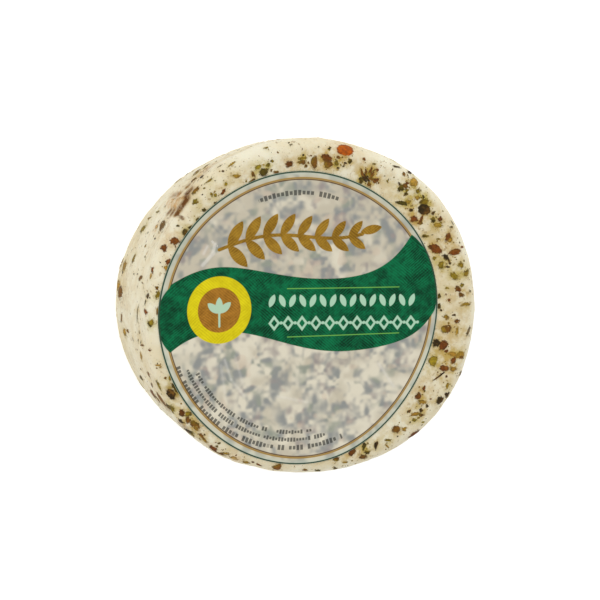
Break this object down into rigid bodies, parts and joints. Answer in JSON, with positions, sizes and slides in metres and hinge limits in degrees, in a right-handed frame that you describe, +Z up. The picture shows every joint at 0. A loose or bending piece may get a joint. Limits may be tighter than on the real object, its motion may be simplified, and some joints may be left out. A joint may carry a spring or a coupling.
{
  "type": "seasoned ricotta wheel",
  "caption": "Low round wheel of fresh white cheese with herb and pepper flakes all through it and a thin round printed label stuck off-centre on its upper face.",
  "frame": {"origin": "on the flat base that the wheel rests on, under the middle of the wheel's box", "axes": "+Z up out of the labelled face, +X to the right of the label's print, +Y towards the top of the label's print"},
  "size_m": [0.1336, 0.1302, 0.0486],
  "materials": {
    "cheese": "moist, fine-grained, creamy white",
    "herb_flakes": "dry leaf, olive to nearly black",
    "pepper_flakes": "dry pepper skin, red-brown",
    "label_film": "translucent printed film, satin"
  },
  "bodies": {
    "root": {"ricotta_wheel": "cheese", "face_label": "label_film"}
  },
  "joints": []
}
